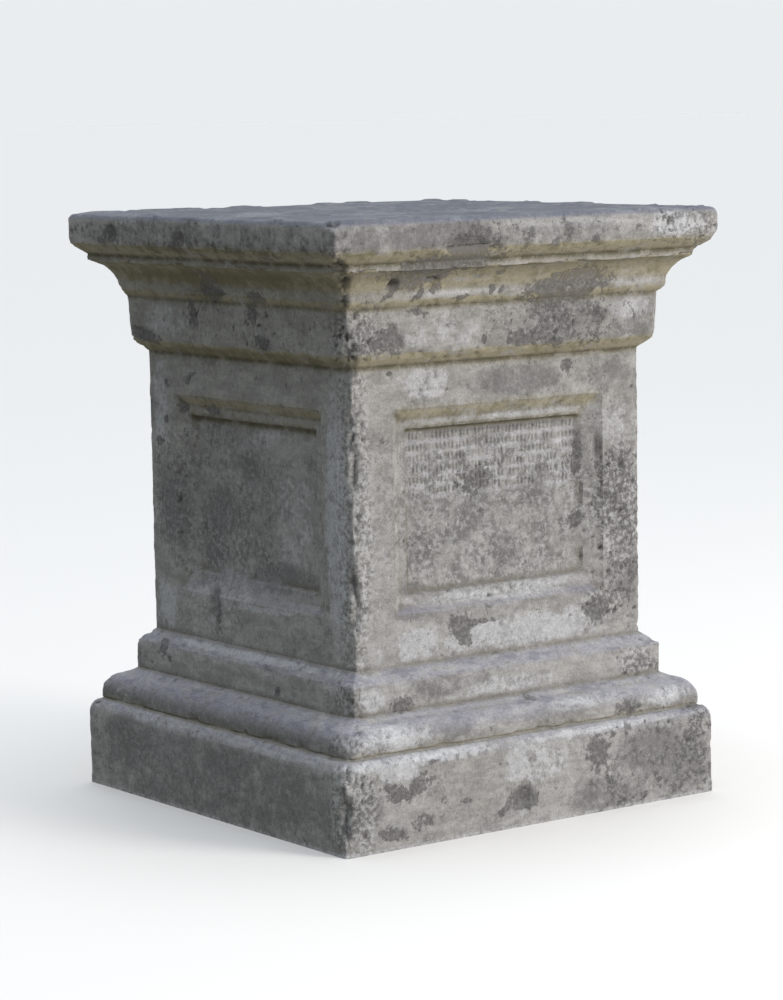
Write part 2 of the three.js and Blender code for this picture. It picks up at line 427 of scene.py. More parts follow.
def keep(bench, geometry, name, value, kind="FLOAT"):
    return bench.node("GeometryNodeStoreNamedAttribute", {"data_type": kind, "domain": "POINT"},
                      {"Geometry": geometry, "Name": name, "Value": value})


grid = bench.node("GeometryNodeMeshGrid", {}, {
    "Size X": given["Columns"], "Size Y": given["Rows"] - 1.0,
    "Vertices X": given["Columns"] + 1.0, "Vertices Y": given["Rows"]}, "Mesh")
column = (place_of(bench).part("X") + given["Columns"] * 0.5).math("ROUND")
column = column - given["Columns"] * (column / given["Columns"]).math("FLOOR")
row = (place_of(bench).part("Y") + (given["Rows"] - 1.0) * 0.5).math("ROUND")
level = looked_up(bench, given["Outline"], place_of(bench), row, "FLOAT_VECTOR")
square = looked_up(bench, given["Plan"], place_of(bench), column, "FLOAT_VECTOR")
outward = looked_up(bench, given["Plan"], kept(bench, "outward", "FLOAT_VECTOR"), column, "FLOAT_VECTOR")
arris = looked_up(bench, given["Outline"], kept(bench, "arris"), row)
corner = looked_up(bench, given["Plan"], kept(bench, "corner"), column)
rounding = looked_up(bench, given["Outline"], kept(bench, "rounding"), row)
swept = square * (level.part("X") - rounding) + outward * rounding + bench.vector(Z=level.part("Z"))
marked = keep(bench, keep(bench, grid, "arris", arris), "corner", corner)
moved = bench.node("GeometryNodeSetPosition", {}, {"Geometry": marked, "Position": swept})
joined = bench.node("GeometryNodeMergeByDistance", {}, {"Geometry": moved, "Distance": 0.00001})
swept_mesh = run_tree(bench, joined, sweep_inputs, bpy.data.meshes.new("empty"), weathered_stone)
print("swept", len(swept_mesh.vertices), "points")

# %% [markdown]
# Much of what makes this stone itself sits in one place: a bruise, a worn stretch of frame, a
# blotch of lichen. Each is a mark, a ball with its own reach along, into and up the stone, leaned a
# little. A loop of nodes keeps, for every point, how deep it lies inside the nearest one. Painting
# would do the same, but marks are easily moved.

# %% Marks on the stone
front, right, back, left = range(4)


def mark(face, along, height, out, reach, lean=0.0, fill=1.0):
    """A place on a face: how far along it, how high, how far out, its reach, lean and fill."""
    spin = Matrix.Rotation(face * math.pi / 2, 3, "Z")
    return spin @ Vector((along, -die_half - out, height)), Vector(reach), face * math.pi / 2, lean, fill


def mark_points(name, marks):
    places, reaches, spins, leans, fills = zip(*marks)
    return point_mesh(name, places, reach=reaches, spin=spins, lean=leans, fill=fills)


def local_of(bench, source, index):
    """A point's place in the lengths of a mark's own reach, and the turn into that mark."""
    where = looked_up(bench, source, place_of(bench), index, "FLOAT_VECTOR")
    reach = looked_up(bench, source, kept(bench, "reach", "FLOAT_VECTOR"), index, "FLOAT_VECTOR")
    spin = looked_up(bench, source, kept(bench, "spin"), index)
    lean = looked_up(bench, source, kept(bench, "lean"), index)

    def turned(vector):
        upright = bench.node("ShaderNodeVectorRotate", {"rotation_type": "Z_AXIS"},
                             {"Vector": vector, "Angle": -spin})
        return bench.node("ShaderNodeVectorRotate", {"rotation_type": "Y_AXIS"},
                          {"Vector": upright, "Angle": lean}) / reach
    return turned(place_of(bench) - where), turned


def repeated(bench, geometry, count, step):
    """Runs a step on the geometry as often as the count says; the step gets the turn's number."""
    start = bench.tree.nodes.new("GeometryNodeRepeatInput")
    end = bench.tree.nodes.new("GeometryNodeRepeatOutput")
    start.pair_with_output(end)
    bench.tree.links.new(count.socket, start.inputs["Iterations"])
    bench.tree.links.new(geometry.socket, start.inputs["Geometry"])
    turn = Wire(bench, start.outputs["Iteration"])
    result = step(Wire(bench, start.outputs["Geometry"]), turn)
    bench.tree.links.new(result.socket, end.inputs["Geometry"])
    return Wire(bench, end.outputs["Geometry"])


def spread_marks(bench, geometry, source, count, name):
    """Keeps how deep each point lies inside the nearest mark: -1 far away, up to the mark's fill."""
    def step(spread, turn):
        inside, _ = local_of(bench, source, turn)
        depth = (1.0 - inside.length()).math("MINIMUM", looked_up(bench, source, kept(bench, "fill"), turn))
        return keep(bench, spread, name, kept(bench, name).math("MAXIMUM", depth))
    return repeated(bench, keep(bench, geometry, name, -1.0), count, step)


# %% [markdown]
# The second tree presses the panels in. A point's distance in from the panel's edge says how deep
# it goes, and as that is the smaller of the one across and the one up, the frame mitres itself.
# Where frost has worn a frame away, its steps fade into one soft hollow. A boolean cut would leave
# long thin faces that can't weather.

# %% The sunk panels
worn_frames = [
    mark(left, -0.150, 0.365, 0, (0.034, 0.060, 0.165)),
    mark(left, -0.030, 0.266, 0, (0.150, 0.060, 0.034)),
    mark(front, 0.150, 0.385, 0, (0.026, 0.060, 0.160), 0.0, 0.42),
    mark(right, 0.060, 0.272, 0, (0.090, 0.060, 0.026)),
    mark(back, 0.150, 0.340, 0, (0.026, 0.060, 0.110)),
]
worn_run, worn_bow = 0.040, 0.75
panel_inputs = {"Half width": panel_half_width, "Half height": panel_half_height, "Middle": panel_middle,
                "Bevel width": bevel_width, "Bevel depth": bevel_depth, "Ledge width": ledge_width,
                "Ledge fall": ledge_fall, "Field depth": field_depth, "Step run": step_run,
                "Worn": mark_points("worn_frames", worn_frames), "Worn count": len(worn_frames),
                "Worn run": worn_run}
bench, given = start_tree("sunk_panels", panel_inputs)
faces = spread_marks(bench, given["Geometry"], given["Worn"], given["Worn count"], "worn")
place = place_of(bench)
across, deep = place.part("X"), place.part("Y")
faces_side = across.math("ABSOLUTE").math("GREATER_THAN", deep.math("ABSOLUTE"))
along = across.math("ABSOLUTE").math("MINIMUM", deep.math("ABSOLUTE"))
up = (place.part("Z") - given["Middle"]).math("ABSOLUTE")
inset = (given["Half width"] - along).math("MINIMUM", given["Half height"] - up)
ledge_start, ledge_end = given["Bevel width"], given["Bevel width"] + given["Ledge width"]
share = (inset / ledge_start).clamped()
slope = ((inset - ledge_start) / given["Ledge width"]).clamped()
drop = ((inset - ledge_end) / given["Step run"]).clamped()
sunk = share * given["Bevel depth"] + slope * given["Ledge fall"]
sunk = sunk + drop * (given["Field depth"] - given["Bevel depth"] - given["Ledge fall"])
uneven = bench.noise(place, 34.0, 3.0) - 0.5
worn = (kept(bench, "worn") + uneven * 1.2).smooth(-0.05, 0.40)
hollow = (inset / given["Worn run"]).clamped().math("POWER", worn_bow)
sunk = sunk + (hollow * given["Field depth"] - sunk) * worn
inward = bench.vector(X=across.math("SIGN") * faces_side * -1.0,
                      Y=deep.math("SIGN") * (1.0 - faces_side) * -1.0)
pressed = bench.node("GeometryNodeSetPosition", {}, {
    "Geometry": keep(bench, faces, "inset", inset), "Offset": inward * sunk})
panelled_mesh = run_tree(bench, pressed, panel_inputs, swept_mesh, weathered_stone)

# %% [markdown]
# Two jobs are left to mesh code. The underside is closed flat, and the top gets its own grid,
# joined to the last ring, so that its crust has points to work on. The upper half of the front
# field is divided more finely, so that its strokes are real cuts.

# %% Closed ends and a finer field
top_step, top_margin = 0.0085, 0.006
flat_field_gap = 0.0005
sharp_from = math.radians(26)
strokes_foot, strokes_top, stroke_cuts = 0.400, 0.4935, 2
field_half = panel_half_width - bevel_width - ledge_width - step_run

body = bmesh.new()
body.from_mesh(panelled_mesh)
open_edges = [e for e in body.edges if e.is_boundary]
top_ring = [e for e in open_edges if min(v.co.z for v in e.verts) > slab_top - 0.001]
foot_ring = [e for e in open_edges if max(v.co.z for v in e.verts) < 0.001]
cap_half = die_half + slab_out - slab_easing - top_margin
cap_count = round(2 * cap_half / top_step)
made = bmesh.ops.create_grid(body, x_segments=cap_count, y_segments=cap_count, size=cap_half)
for v in made["verts"]:
    v.co.z += slab_top
cap_ring = [e for e in {e for v in made["verts"] for e in v.link_edges} if e.is_boundary]
bmesh.ops.triangle_fill(body, use_beauty=True, edges=top_ring + cap_ring, normal=(0, 0, 1))
bmesh.ops.contextual_create(body, geom=foot_ring)

fine = [f for f in body.faces if all(
    abs(v.co.x) < field_half + 0.0001 and strokes_foot < v.co.z < strokes_top
    and abs(v.co.y + die_half - field_depth) < flat_field_gap for v in f.verts)]
fine_edges = list({e for f in fine for e in f.edges})
bmesh.ops.subdivide_edges(body, edges=fine_edges, cuts=stroke_cuts, use_grid_fill=True)
bmesh.ops.recalc_face_normals(body, faces=body.faces)
for edge in body.edges:
    edge.smooth = edge.calc_face_angle(0.0) < sharp_from
plain_mesh = bpy.data.meshes.new("plain_stone")
body.to_mesh(plain_mesh)
loose = sum(1 for e in body.edges if not e.is_manifold)
print("closed stone", len(body.faces), "faces", loose, "open or doubled edges, volume",
      round(body.calc_volume(signed=True), 5))
body.free()

# %% [markdown]
# Frost and knocks have taken bites out of the arrises and the mouldings. The places of these
# bruises are those that the photograph shows, and those of the hidden faces are plainer. All but
# four small ones at the near corner are in the solid too. Each is pressed in after the one before.

# %% Bruises and breaks
slab_half, plinth_half, fillet_half = die_half + slab_out, die_half + plinth_out, die_half + fillet_out
frieze_half = die_half + frieze_out
bruises = [mark(*place) for place in (
    (front, -0.098, slab_foot + 0.002, slab_out, (0.047, 0.009, 0.013)),
    (front, -slab_half, slab_top, slab_out, (0.013, 0.012, 0.010)),
    (front, slab_half, slab_foot, slab_out, (0.011, 0.011, 0.009)),
    (front, -fillet_half, fillet_foot, fillet_out, (0.015, 0.015, 0.017)),
    (front, fillet_half, fillet_foot, fillet_out, (0.011, 0.011, 0.012)),
    (front, -0.184, cavetto_foot + 0.009, strip_top_out, (0.009, 0.008, 0.009)),
    (front, -0.129, cavetto_foot + 0.014, strip_top_out + 0.003, (0.013, 0.006, 0.005)),
    (front, -0.162, frieze_foot + 0.022, frieze_top_out, (0.007, 0.005, 0.020)),
    (front, 0.141, frieze_foot + 0.033, frieze_top_out, (0.008, 0.005, 0.011)),
    (front, -frieze_half, frieze_foot, frieze_out, (0.009, 0.009, 0.014)),
    (front, panel_half_width - 0.009, panel_middle + 0.056, 0, (0.007, 0.010, 0.027)),
    (front, -die_half, panel_middle + 0.080, 0, (0.007, 0.007, 0.062)),
    (front, -die_half, panel_middle - 0.092, 0, (0.008, 0.007, 0.046)),
    (front, -plinth_half, 0.042, plinth_out, (0.008, 0.008, 0.028)),
    (front, -plinth_half, plinth_height - 0.012, plinth_out, (0.010, 0.009, 0.010)),
    (front, -die_half - torus_out, torus_foot + 0.020, torus_out, (0.010, 0.010, 0.008)),
    (front, -die_half - 0.034, cavetto_foot + 0.012, 0.034, (0.011, 0.011, 0.013)),
    (front, -die_half - strip_out, strip_foot + 0.003, strip_out, (0.009, 0.009, 0.008)),
    (front, -0.028, 0.034, plinth_out, (0.021, 0.005, 0.018)),
    (left, -0.187, slab_foot + 0.015, slab_out, (0.009, 0.006, 0.014)),
    (left, -0.026, slab_foot + 0.009, slab_out, (0.008, 0.005, 0.010)),
    (left, -0.022, strip_foot + 0.005, strip_top_out, (0.027, 0.006, 0.009)),
    (left, -0.084, panel_middle - panel_half_height - 0.004, 0, (0.011, 0.009, 0.030)),
    (back, 0.120, slab_foot + 0.002, slab_out, (0.030, 0.008, 0.011)),
    (back, -0.070, frieze_foot + 0.024, frieze_top_out, (0.010, 0.005, 0.015)),
    (right, slab_half, slab_top, slab_out, (0.012, 0.012, 0.009)),
    (right, 0.096, plinth_height - 0.008, plinth_out, (0.024, 0.008, 0.012)),
)]
print("bruises", len(bruises))

# %% [markdown]
# In the upper half of the front field a tool has left rows of short upright strokes. Each is an
# edge in a helper mesh, with a seeded chance for its length, its tilt and whether it has weathered
# away, and the weathering tree cuts wherever the stone is close to one.

# %% Strokes on the field
stroke_rows, stroke_row_pitch, stroke_pitch = 6, 0.0135, 0.006
stroke_height, stroke_margin, stroke_seed = 0.0085, 0.007, 11
strokes_half = panel_half_width - bevel_width - ledge_width - stroke_margin
field_top = panel_middle + panel_half_height - bevel_width - ledge_width
field_face = -die_half + field_depth
per_row = math.floor(2 * strokes_half / stroke_pitch)
chance = random.Random(stroke_seed)
stroke_ends = []
for r in range(stroke_rows):
    for i in range(per_row):
        half = stroke_height * chance.uniform(0.3, 0.52)
        tilt = chance.uniform(-0.2, 0.2)
        x = (i + 0.5 - per_row / 2) * stroke_pitch + chance.uniform(-0.0006, 0.0006)
        z = field_top - stroke_margin - stroke_row_pitch * r - stroke_height / 2
        worn_away = chance.random() < 0.06 + 0.05 * r
        if not worn_away:
            stroke_ends += [(x - half * tilt, field_face, z - half), (x + half * tilt, field_face, z + half)]
stroke_mesh = bpy.data.meshes.new("strokes")
stroke_mesh.from_pydata(stroke_ends, [(i, i + 1) for i in range(0, len(stroke_ends), 2)], [])
stroke_lines = bpy.data.objects.new("strokes", stroke_mesh)
row_feet = [field_top - stroke_margin - stroke_row_pitch * r - stroke_height for r in range(stroke_rows)]
print("strokes", len(stroke_ends) // 2)

# %% [markdown]
# Dark lichen and soot lie on the stone in ragged blotches, and around them are softer grey blooms,
# pale patches that rain has washed, and zones of frost pits. Some soft marks are painted shade: a
# shadow under the front field's top ledge, and broad marks that darken the whole left face. Some pale
# marks are painted highlights on the rounds of the base, and one is a painted patch of light on the
# left face's near stile. Those of the two faces in the photograph are placed level by level, and a
# seeded chance spreads plainer crusts and blooms over the others. Only their rough place is kept on
# the mesh, and the finish makes the ragged edges itself.

# %% Blotches of crust
mark_depth = 0.040
bevel_out, sill_out, ledge_out = -0.004, -0.006, -0.008


def on(face, out, *places):
    """Marks of one level of a face, each with its place along and up the face and its reach along
    and up, all in millimetres, and where they differ from 0 and 1 its lean and its fill."""
    return [mark(face, along / 1000, height / 1000, out, (across / 1000, mark_depth, up / 1000), *more)
            for along, height, across, up, *more in places]


crusts = on(front, slab_out, (-94, 713, 44, 20, 0.15), (33, 713, 6, 6), (55, 728, 5, 8),
            (95, 715, 6, 5), (250, 726, 50, 18, 0, -0.22), (80, 722, 180, 18, 0, -0.32))
crusts += on(front, fillet_out, (-122, 693, 80, 18, 0.15))
crusts += on(front, cavetto_out, (-142, 678, 52, 14, 0.25), (-25, 679, 10, 3))
crusts += on(front, cavetto_out - 0.012, (-176, 671, 12, 11, -0.5))
crusts += on(front, strip_top_out, (-188, 655, 9, 4, 0.4), (-141, 655, 13, 5, 0.7),
             (-118, 664, 8, 6, 0.6), (-31, 659, 5, 7), (-16, 657, 6, 5), (-74, 650, 15, 4),
             (108, 662, 46, 18), (52, 656, 36, 11, 0.15), (82, 645, 62, 8))
crusts += on(front, frieze_top_out, (-140, 637, 11, 6), (-125, 632, 6, 4))
crusts += on(front, frieze_out, (-170, 603, 11, 21, 0.15), (-190, 604, 20, 15, 0.3), (-35, 596, 5, 6),
             (28, 594, 30, 10), (68, 589, 22, 6), (145, 612, 9, 11), (85, 622, 85, 34, 0, -0.17),
             (-215, 612, 26, 32, 0, -0.14))
crusts += on(front, 0, (192, 420, 34, 28, 0, -0.04), (190, 362, 32, 50, 0, -0.12),
             (198, 300, 26, 40, 0, -0.12), (107, 555, 11, 10), (-167, 562, 5, 3),
             (155, 245, 22, 17, 0.2), (-67, 245, 20, 14, -0.15), (-58, 230, 14, 9, -0.5),
             (-40, 248.5, 36, 3))
crusts += on(front, plinth_out, (-278, 40, 14, 40, 0, -0.32), (190, 60, 80, 46, 0, -0.22),
             (262, 60, 34, 50, 0, -0.12), (-216, 69, 21, 10, -0.3), (-178, 76, 22, 11, 0.6, 0.22),
             (-158, 99, 10, 4), (-220, 21, 20, 9, -0.2), (-178, 28, 22, 9, 0.3, 0.18),
             (-110, 45, 8, 3), (-20, 34, 21, 17), (-48, 26, 18, 5, 0.5), (98, 74, 19, 21))
crusts += on(front, -field_depth, (-27, 426, 27, 17), (130, 357, 10, 9), (133, 440, 6, 20))
crusts += on(front, fascia_out, (-170, 163, 17, 9, 0.2))
crusts += on(front, torus_out, (158, 124, 19, 10))
crusts += on(front, torus_out - 0.012, (18, 150, 9, 3))
crusts += on(left, slab_out, (-190, 726, 16, 13, -0.3), (-36, 722, 14, 11), (-10, 717, 6, 7),
             (47, 716, 5, 7), (-215, 718, 8, 5), (0, 722, 290, 20, 0, -0.30))
crusts += on(left, strip_top_out, (-30, 664, 20, 24, 0, 0.3), (64, 650, 18, 10))
crusts += on(left, frieze_out, (-86, 628, 9, 20), (45, 632, 13, 13, -0.4), (66, 595, 16, 10),
             (-205, 593, 34, 9, -0.15))
crusts += on(left, 0, (-128, 540, 14, 5, 0.6), (-182, 532, 6, 6), (-183, 484, 8, 6), (-200, 455, 9, 5),
             (-72, 245, 8, 22))
crusts += on(left, bevel_out, (-150, 502, 9, 8))
crusts += on(left, ledge_out, (-83, 501, 15, 8))
crusts += on(left, fascia_out, (-178, 188, 10, 11), (-160, 177, 9, 4, -0.4), (85, 166, 6, 6))
print("crusts seen", len(crusts))

# %% Soft grey blooms and painted shade
blooms_and_painted_shades = on(front, slab_out, (-150, 728, 85, 24, 0, 0.45), (50, 722, 120, 16, 0, 0.15),
            (-265, 726, 40, 22, 0, 0.25))
blooms_and_painted_shades += on(front, frieze_out, (85, 618, 85, 36, 0, 0.30), (195, 597, 45, 14, 0, 0.20),
             (-210, 606, 26, 24, 0, 0.30))
blooms_and_painted_shades += on(front, 0, (30, 541, 80, 20, 0, 0.40), (180, 540, 36, 20, 0, 0.25),
             (190, 420, 34, 28, 0, 0.60), (190, 368, 34, 50, 0, 0.40), (195, 300, 30, 50, 0, 0.35),
             (-140, 270, 30, 10, 0, 0.50), (140, 270, 26, 9, 0, 0.50))
blooms_and_painted_shades += on(front, -field_depth, (0, 402, 170, 120, 0, 0.09), (-32, 385, 24, 44, -0.35, 0.60),
             (-62, 356, 36, 16, 0.1, 0.60), (68, 410, 20, 40, -0.5, 0.60),
             (18, 332, 34, 28, -0.3, 0.60), (-115, 345, 30, 26, 0, 0.30), (134, 410, 7, 80, 0, 0.20),
             # The long thin mark under the field's top ledge is a painted shadow.
             (0, 489, 170, 8, 0, 0.50), (-128, 297, 34, 8, 0, 0.60))
blooms_and_painted_shades += on(front, fascia_out, (-112, 178, 40, 14, 0, 0.22), (195, 168, 42, 14, 0, 0.25))
blooms_and_painted_shades += on(front, torus_out, (-115, 132, 30, 14, 0, 0.40), (30, 132, 60, 10, 0, 0.12))
blooms_and_painted_shades += on(front, plinth_out, (190, 68, 75, 40, 0, 0.60), (240, 45, 55, 50, 0, 0.45),
             (115, 22, 75, 22, 0, 0.30), (-262, 52, 30, 34, 0, 0.30))
# On the left face, the broad marks that run the length of its mouldings or cover its whole field are painted
# shade over its grey lichen: they darken the face as if it were turned from the light.
blooms_and_painted_shades += on(left, -field_depth, (-65, 385, 110, 110, 0, 0.12), (-80, 370, 60, 45, 0.4, 0.60),
             (-20, 430, 34, 22, -0.5, 0.60), (-95, 320, 40, 26, 0, 0.60), (50, 300, 90, 22, 0, 0.45))
blooms_and_painted_shades += on(left, 0, (-170, 375, 40, 70, 0.2, 0.60))
blooms_and_painted_shades += on(left, strip_top_out, (-50, 655, 40, 24, 0, 0.40))
blooms_and_painted_shades += on(left, cavetto_out, (0, 672, 300, 18, 0, 0.55))
blooms_and_painted_shades += on(left, slab_out, (20, 722, 290, 20, 0, 0.15))
blooms_and_painted_shades += on(left, frieze_out, (0, 576, 250, 8, 0, 0.30))
blooms_and_painted_shades += on(left, plinth_out, (0, 50, 280, 60, 0, 0.30), (-205, 65, 50, 45, 0, 0.40),
             (15, 74, 48, 26, 0, 0.50), (0, 14, 34, 12, 0, 0.40))
blooms_and_painted_shades += on(left, torus_out, (-255, 130, 26, 16, 0, 0.40), (0, 130, 300, 20, 0, 0.40))
hidden_faces, blotches_each, blotch_seed, hidden_depth = (right, back), 16, 5, 0.060
scatter = random.Random(blotch_seed)
for face in hidden_faces:
    for i in range(blotches_each):
        height, size = scatter.uniform(0.02, slab_top - 0.02), scatter.uniform(0.010, 0.045)
        along, out = scatter.uniform(-0.21, 0.21), plinth_out if height < plinth_height else frieze_out
        reach = (size * scatter.uniform(0.8, 1.5), hidden_depth, size * scatter.uniform(0.5, 0.9))
        lean, is_crust = scatter.uniform(-0.6, 0.6), scatter.random() < 0.4
        chosen, fill = (crusts, 1.0) if is_crust else (blooms_and_painted_shades, 0.45)
        chosen.append(mark(face, along, height, out, reach, lean, fill))
print("crusts", len(crusts), "blooms_and_painted_shades", len(blooms_and_painted_shades))

# %% Pale patches, painted highlights and frost pits
pale = on(front, slab_out, (225, 730, 50, 18, 0, 0.6), (70, 735, 100, 6, 0, 0.2))
pale += on(front, frieze_out, (-100, 612, 58, 22, 0, 0.05), (195, 624, 40, 16, 0, 0.3))
pale += on(front, strip_top_out, (-80, 656, 100, 6), (195, 662, 44, 12, 0, 0.3))
pale += on(front, 0, (-115, 553, 44, 15, 0, 0.4), (-110, 535, 30, 6),
           (190, 478, 32, 30, 0, 0.1), (-192, 300, 18, 100, 0, -0.05),
           (40, 230, 150, 22, 0, 0.5), (-130, 230, 45, 22, 0, 0.5))
pale += on(front, ledge_out, (0, 500, 150, 9))
pale += on(front, sill_out, (0, 282, 145, 12))
pale += on(front, -field_depth, (5, 420, 5, 24), (107, 460, 18, 5))
pale += on(front, fascia_out, (-10, 170, 75, 13, 0, 0.3), (-215, 175, 24, 16, 0, 0.5))
# The pale marks on the torus and along the plinth's shoulder are painted highlights where the rounds catch
# the light, as well as washed stone.
pale += on(front, torus_out, (-215, 132, 66, 17), (225, 130, 44, 12), (75, 138, 50, 8))
pale += on(front, plinth_out, (-180, 105, 140, 9), (120, 105, 150, 5),
           (-5, 78, 52, 26, 0, 0.2), (-208, 91, 34, 11))
# The tall pale mark on the near stile of the left face is a painted patch of light.
pale += on(left, 0, (-198, 505, 18, 60, 0, 0.4), (-190, 245, 26, 34, 0, 0.5),
           (30, 259, 100, 5, 0.05, 0.3), (190, 390, 24, 170, 0, 0.5))
pale += on(left, -field_depth, (10, 470, 60, 12, 0.3, 0.2), (80, 380, 40, 70, 0, 0.1))
pale += on(left, sill_out, (-50, 272, 80, 12, 0.1, 0.1))
pale += on(left, frieze_out, (-150, 615, 50, 20, 0, 0.2))
# The pale strip along the left plinth's shoulder is a painted highlight.
pale += on(left, plinth_out, (-100, 75, 50, 26, 0, 0.2), (0, 103, 270, 6, 0, 0.3))
pale += on(left, fascia_out - 0.010, (10, 200, 200, 5, 0, 0.4))
bar_seed, bars_each_row, bar_gap, bar_reach, bar_fill = 8, 7, 0.0026, 0.0044, 0.36
bar_chance = random.Random(bar_seed)
for foot in row_feet:
    for i in range(bars_each_row):
        middle = (i + bar_chance.uniform(0.1, 0.9)) / bars_each_row * 2 - 1
        reach = (bar_chance.uniform(0.012, 0.030), mark_depth, bar_reach)
        pale.append(
            mark(front, middle * strokes_half, foot - bar_gap, -field_depth, reach, 0.0, bar_fill))

frost_pits = on(front, 0, (-216, 390, 20, 230), (190, 370, 36, 95), (160, 250, 40, 24, 0, 0.2))
frost_pits += on(front, plinth_out, (-275, 55, 34, 75), (205, 55, 105, 65, 0, -0.02))
frost_pits += on(front, torus_out, (-264, 132, 34, 20, 0, 0.1))
frost_pits += on(front, fascia_out, (-238, 176, 18, 26), (205, 170, 40, 22))
frost_pits += on(front, frieze_out, (-226, 612, 32, 40), (85, 620, 85, 38, 0, -0.03))
frost_pits += on(front, cavetto_out, (-255, 680, 30, 16))
frost_pits += on(front, slab_out, (235, 728, 65, 22))
frost_pits += on(front, -field_depth, (0, 370, 170, 105, 0, 0.08))
frost_pits += on(left, -field_depth, (-70, 385, 140, 125, 0, 0.02))
frost_pits += on(left, 0, (-180, 380, 36, 100, 0, 0.02), (212, 390, 18, 230),
                 (-100, 240, 80, 30, 0, 0.02))
frost_pits += on(left, frieze_out, (20, 615, 210, 36, 0, -0.02))
frost_pits += on(left, plinth_out, (-80, 60, 200, 60, 0, -0.08))
frost_pits += [
    mark(right, 0.080, 0.300, 0, (0.120, 0.060, 0.120), 0.0, 0.02),
    mark(right, -0.120, 0.060, plinth_out, (0.130, 0.060, 0.060), 0.0, 0.02),
    mark(back, -0.060, 0.560, frieze_out, (0.150, 0.060, 0.090), 0.0, 0.02),
    mark(back, 0.090, 0.200, fascia_out, (0.140, 0.060, 0.110), 0.0, 0.02),
]
finish_marks = {"crust": crusts, "shade": blooms_and_painted_shades, "washed": pale, "pitted": frost_pits}
print("marks", {name: len(marks) for name, marks in finish_marks.items()})

# %% [markdown]
# The third tree weathers the stone. One loop presses every bruise in, and others keep how deep each
# point lies inside the nearest blotch. Slow noise makes the old tool work uneven, quick noise and
# small cells make pits, the near corner is worn round, and the strokes are cut last. The underside
# stays flat.

# %% The weathering tree
weather_inputs = {"Bruises": mark_points("bruises", bruises), "Bruise count": len(bruises),
                  "Strokes": stroke_lines, "Stroke half width": 0.0015, "Stroke depth": 0.0014,
                  "Slow height": 0.0010, "Quick height": 0.0007, "Pit depth": 0.0036,
                  "Arris wear": 0.0036, "Band width": 0.026, "Crust height": 0.0022,
                  "Deepest bruise": 0.022, "Near corner reach": 0.026, "Near corner core": 0.0045,
                  "Near corner bite": 0.42}
for name, marks in finish_marks.items():
    weather_inputs[name] = mark_points(name, marks)
    weather_inputs[name + " count"] = len(marks)
bench, given = start_tree("weathering", weather_inputs)
cells_in_metre, diagonal = 92.0, 0.71


def press_bruise(geometry, turn):
    inside, turned = local_of(bench, given["Bruises"], turn)
    ragged = bench.noise(place_of(bench), 70.0, 2.0) * 0.9 + 0.6
    inside = inside * ragged
    way = turned(-kept(bench, "outward", "FLOAT_VECTOR"))
    lean_in, size = inside.dot(way), way.dot(way)
    room = lean_in * lean_in - size * (inside.dot(inside) - 1.0)
    travel = (room.math("MAXIMUM", 0.0).math("SQRT") - lean_in) / size
    hit = inside.dot(inside).math("LESS_THAN", 1.0)
    depth = (travel * hit).math("MINIMUM", given["Deepest bruise"])
    return bench.node("GeometryNodeSetPosition", {}, {
        "Geometry": geometry, "Offset": kept(bench, "outward", "FLOAT_VECTOR") * -depth})


outward = bench.node("GeometryNodeInputNormal")
bend = bench.node("GeometryNodeInputMeshEdgeAngle", {}, {}, "Signed Angle")
stone = keep(bench, given["Geometry"], "outward", outward, "FLOAT_VECTOR")
stone = keep(bench, stone, "crease", (-bend).math("MAXIMUM", 0.0))
stone = keep(bench, stone, "ridge", bend.math("MAXIMUM", 0.0))
stone = keep(bench, stone, "rest", place_of(bench), "FLOAT_VECTOR")
stone = repeated(bench, stone, given["Bruise count"], press_bruise)
away = kept(bench, "outward", "FLOAT_VECTOR")
dent = (place_of(bench) - kept(bench, "rest", "FLOAT_VECTOR")).length()
stone = keep(bench, stone, "dent", dent)
for name in finish_marks:
    stone = spread_marks(bench, stone, given[name], given[name + " count"], name)
print("bruised and marked with", len(bench.tree.nodes), "nodes")

# %% Pits, strokes and worn corners
rest = kept(bench, "rest", "FLOAT_VECTOR")
slow = bench.noise(rest, 11.0, 2.0, 0.5, "Color") - (0.5, 0.5, 0.5)
quick = bench.noise(rest + (0.31, 0.17, 0.05), 62.0, 3.0, 0.6) - 0.5
corner_gap = (rest.part("X").math("ABSOLUTE") - rest.part("Y").math("ABSOLUTE")).math("ABSOLUTE")
band = 1.0 - (corner_gap / given["Band width"]).smooth(0.2, 1.0)
level_z = rest.part("Z")
patchy = bench.noise(rest + (0.6, 0.2, 0.9), 9.0, 2.0)
rough_zone = (kept(bench, "pitted") + quick * 1.2).smooth(-0.15, 0.25)
pitted = patchy.smooth(0.50, 0.62) * 0.5 + (band * 0.5).math("MAXIMUM", rough_zone * 0.9)
cell_way = bench.cells(rest, cells_in_metre)
cell_luck = bench.cells(rest, cells_in_metre, "Color").part("X")
pits = (1.0 - cell_way.smooth(0.16, 0.46)) * cell_luck.smooth(0.40, 0.75) * pitted
pits = pits * (1.0 - kept(bench, "inset").smooth(0.022, 0.030))
is_near = rest.part("X").smooth(0.0, -0.05) * rest.part("Y").smooth(0.0, -0.05)
wear = kept(bench, "arris").math("MAXIMUM", kept(bench, "corner") * (1.0 - is_near))
chewed = bench.noise(rest + (0.1, 0.7, 0.3), 38.0, 3.0, 0.62).smooth(0.42, 0.68)
crusted = bench.noise(rest + (0.4, 0.4, 0.4), 15.0, 4.0, 0.55).smooth(0.55, 0.60)
is_top = away.part("Z").smooth(0.75, 0.95) * level_z.smooth(slab_top - 0.02, slab_top - 0.005)
strokes = bench.node("GeometryNodeObjectInfo", {}, {"Object": given["Strokes"]}, "Geometry")
near_stroke = bench.node("GeometryNodeProximity", {"target_element": "EDGES"}, {"Geometry": strokes},
                         "Distance")
cut = 1.0 - (near_stroke / given["Stroke half width"]).smooth(0.25, 1.0)
